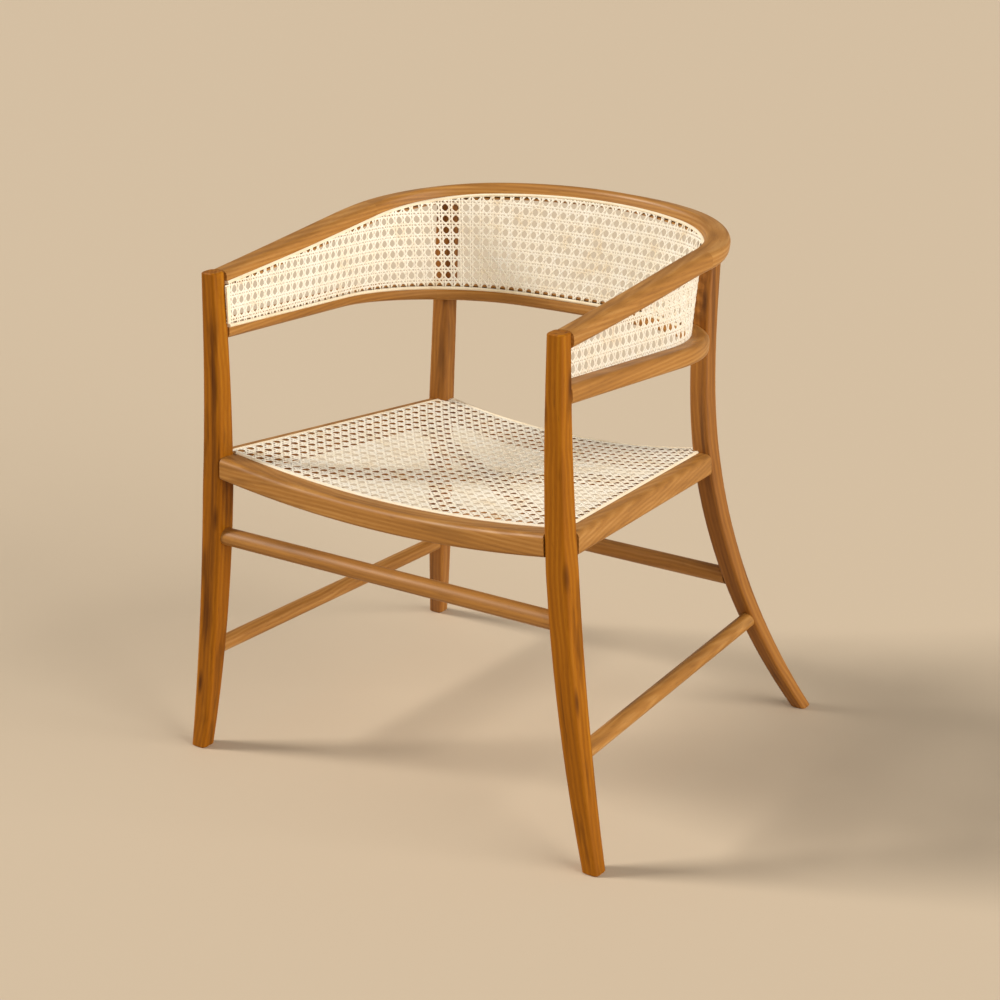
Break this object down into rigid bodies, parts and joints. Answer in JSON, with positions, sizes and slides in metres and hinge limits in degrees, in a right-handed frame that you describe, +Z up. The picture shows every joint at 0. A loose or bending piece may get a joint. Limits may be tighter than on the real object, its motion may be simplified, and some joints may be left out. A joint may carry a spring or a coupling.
{
  "type": "armchair with cane seat and back",
  "caption": "Low wooden armchair: square tapered legs, a bent top rail and lower rail holding a wrapped cane back, and a dished cane seat on a sloping frame with round stretchers.",
  "frame": {"origin": "on the floor, in the middle of the chair's outer box", "axes": "+X to the right as seen from in front, +Y to the back, +Z up"},
  "size_m": [0.6642, 0.6012, 0.7303],
  "materials": {
    "teak": "oiled satin, straight grain",
    "cane": "natural matte woven cane",
    "reed": "natural satin reed",
    "dowel": "raw",
    "screw": "zinc plated"
  },
  "bodies": {
    "root": {"front_leg_left": "teak", "front_leg_right": "teak", "rear_leg_left": "teak", "rear_leg_right": "teak", "arm_rail_left": "teak", "arm_rail_right": "teak", "crest_rail_left": "teak", "crest_rail_right": "teak", "lower_rail_left": "teak", "lower_rail_right": "teak", "lower_rail_back": "teak", "seat_front_rail": "teak", "seat_rear_rail": "teak", "seat_side_rail_left": "teak", "seat_side_rail_right": "teak", "seat_brace_left": "teak", "seat_brace_right": "teak", "front_stretcher": "teak", "rear_stretcher": "teak", "side_stretcher_left": "teak", "side_stretcher_right": "teak", "back_cane": "cane", "seat_cane": "cane", "back_spline_top": "reed", "back_spline_lower": "reed", "back_edge_bead_left": "reed", "back_edge_bead_right": "reed", "seat_front_spline": "reed", "seat_rear_spline": "reed", "seat_side_spline_left": "reed", "seat_side_spline_right": "reed", "top_rail_dowels": "dowel", "lower_rail_dowels": "dowel", "leg_top_dowels": "dowel", "seat_frame_dowels": "dowel", "brace_screws": "screw"}
  },
  "joints": []
}
